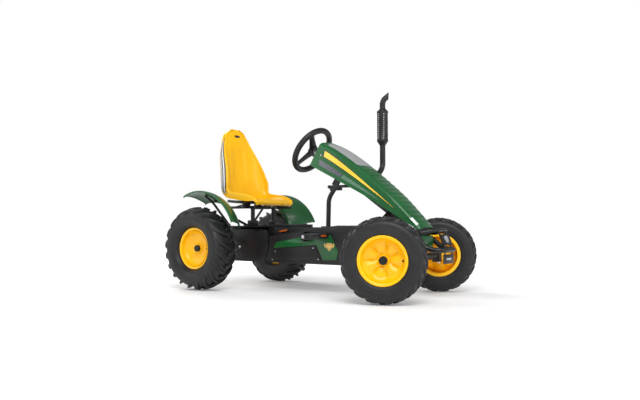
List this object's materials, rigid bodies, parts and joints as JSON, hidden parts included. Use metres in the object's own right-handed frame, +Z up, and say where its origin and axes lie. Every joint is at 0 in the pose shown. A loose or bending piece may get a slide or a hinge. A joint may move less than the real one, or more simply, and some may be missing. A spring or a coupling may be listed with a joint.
{
  "type": "pedal go kart",
  "caption": "Four-wheel pedal go-kart with tractor styling: bucket seat, steering wheel, sloping hood with exhaust stack, fenders, lugged tyres and chain drive.",
  "frame": {"origin": "on the floor, midway between the kart's ends and sides", "axes": "+X forward, +Y to the driver's left, +Z up"},
  "size_m": [1.6049, 0.944, 1.0808],
  "materials": {
    "frame_paint": "satin black powder coat",
    "black_plastic": "fine-grained black moulding",
    "green_plastic": "glossy green moulding",
    "yellow_plastic": "glossy yellow moulding",
    "tyre": "lugged black rubber",
    "plate_face": "silver-grey plate with a black rim",
    "steel": "zinc-plated",
    "chain_steel": "oiled chain steel",
    "crank_steel": "black painted forging"
  },
  "bodies": {
    "frame": {"main_beam": "frame_paint", "rear_carrier": "frame_paint", "axle_bearings": "steel", "bottom_bracket": "frame_paint", "front_subframe": "frame_paint", "swing_bolt": "steel", "column_post": "frame_paint", "column_clamp": "frame_paint", "steering_tube": "frame_paint", "hood": "green_plastic", "nose_cover": "green_plastic", "exhaust": "black_plastic", "bumper": "frame_paint", "emblem_plate": "plate_face", "number_plate": "plate_face", "trim_screws": "steel", "side_cover_right": "black_plastic", "side_cover_left": "black_plastic", "cover_inlays": "green_plastic", "step_panels": "black_plastic", "hub_cover_right": "black_plastic", "hub_cover_left": "black_plastic", "rear_deck": "frame_paint", "seat_posts": "frame_paint", "fender_right": "green_plastic", "fender_left": "green_plastic", "fender_brackets": "frame_paint", "chain": "chain_steel"},
    "knob": {"height_knob": "black_plastic"},
    "seat": {"seat_shell": "yellow_plastic", "seat_bars": "frame_paint"},
    "clamp_lever": {"seat_lever": "black_plastic"},
    "steering": {"steering_wheel": "black_plastic", "steering_hub": "black_plastic", "steering_shaft": "steel", "pitman_arm": "steel"},
    "front_axle": {"axle_beam": "frame_paint", "kingpins": "steel"},
    "right_knuckle": {"knuckle_right": "frame_paint"},
    "left_knuckle": {"knuckle_left": "frame_paint"},
    "track_rod": {"track_rod": "steel"},
    "right_front_wheel": {"front_rim_right": "yellow_plastic", "front_tyre_right": "tyre", "front_cap_right": "black_plastic"},
    "left_front_wheel": {"front_rim_left": "yellow_plastic", "front_tyre_left": "tyre", "front_cap_left": "black_plastic"},
    "drive_axle": {"rear_axle": "steel", "drive_sprocket": "steel", "brake_hub": "frame_paint", "rear_rim_right": "yellow_plastic", "rear_tyre_right": "tyre", "axle_caps": "black_plastic"},
    "left_rear_wheel": {"rear_rim_left": "yellow_plastic", "rear_tyre_left": "tyre"},
    "crank": {"crank_axle": "steel", "chainring": "steel", "crank_arms": "crank_steel"},
    "right_pedal": {"pedal_right": "black_plastic"},
    "left_pedal": {"pedal_left": "black_plastic"}
  },
  "joints": [
    {"name": "steering_turn", "type": "hinge", "parent": "frame", "child": "steering", "pos_m": [-0.0605, 0, 0.774], "axis": [-0.8192, 0, 0.5736], "range_deg": [-80.71, 10.71]},
    {"name": "axle_swing", "type": "hinge", "parent": "frame", "child": "front_axle", "pos_m": [0.57, 0, 0.29], "axis": [1, 0, 0], "range_deg": [-6, 6]},
    {"name": "right_knuckle_turn", "type": "hinge", "parent": "front_axle", "child": "right_knuckle", "pos_m": [0.57, -0.275, 0.2], "axis": [0, 0, 1], "range_deg": [-56.5, 7.5]},
    {"name": "left_knuckle_turn", "type": "hinge", "parent": "front_axle", "child": "left_knuckle", "pos_m": [0.57, 0.275, 0.2], "axis": [0, 0, 1], "range_deg": [-56.5, 7.5]},
    {"name": "track_rod_turn", "type": "hinge", "parent": "right_knuckle", "child": "track_rod", "pos_m": [0.4881, -0.31232, 0.19], "axis": [0, 0, 1], "range_deg": [-7.5, 56.5]},
    {"name": "right_front_spin", "type": "hinge", "parent": "right_knuckle", "child": "right_front_wheel", "pos_m": [0.6011, -0.34325, 0.2], "axis": [-0.4147, 0.91, 0], "continuous": true},
    {"name": "left_front_spin", "type": "hinge", "parent": "left_knuckle", "child": "left_front_wheel", "pos_m": [0.5389, 0.34325, 0.2], "axis": [-0.4147, 0.91, 0], "continuous": true},
    {"name": "axle_spin", "type": "hinge", "parent": "frame", "child": "drive_axle", "pos_m": [-0.58, 0, 0.23], "axis": [0, 1, 0], "continuous": true},
    {"name": "left_rear_spin", "type": "hinge", "parent": "drive_axle", "child": "left_rear_wheel", "pos_m": [-0.58, 0.35, 0.23], "axis": [0, 1, 0], "continuous": true},
    {"name": "crank_turn", "type": "hinge", "parent": "frame", "child": "crank", "pos_m": [-0.035, 0, 0.296], "axis": [0, 1, 0], "continuous": true},
    {"name": "right_pedal_spin", "type": "hinge", "parent": "crank", "child": "right_pedal", "pos_m": [0.1098, -0.17, 0.30359], "axis": [0, 1, 0], "continuous": true},
    {"name": "left_pedal_spin", "type": "hinge", "parent": "crank", "child": "left_pedal", "pos_m": [-0.1798, 0.17, 0.28841], "axis": [0, 1, 0], "continuous": true},
    {"name": "seat_slide", "type": "slide", "parent": "frame", "child": "seat", "axis": [1, 0, 0], "range_m": [-0.06, 0.06]},
    {"name": "clamp_lever_turn", "type": "hinge", "parent": "seat", "child": "clamp_lever", "pos_m": [-0.47, -0.105, 0.478], "axis": [0, 1, 0], "range_deg": [-60, 0]},
    {"name": "knob_turn", "type": "hinge", "parent": "frame", "child": "knob", "pos_m": [0.0655, 0, 0.567], "axis": [1, 0, 0], "continuous": true}
  ],
  "couplings": [
    {"joint": "right_knuckle_turn", "follows": "steering_turn", "ratio": 0.7},
    {"joint": "left_knuckle_turn", "follows": "steering_turn", "ratio": 0.7},
    {"joint": "track_rod_turn", "follows": "steering_turn", "ratio": -0.7},
    {"joint": "crank_turn", "follows": "axle_spin", "ratio": 0.76471}
  ]
}
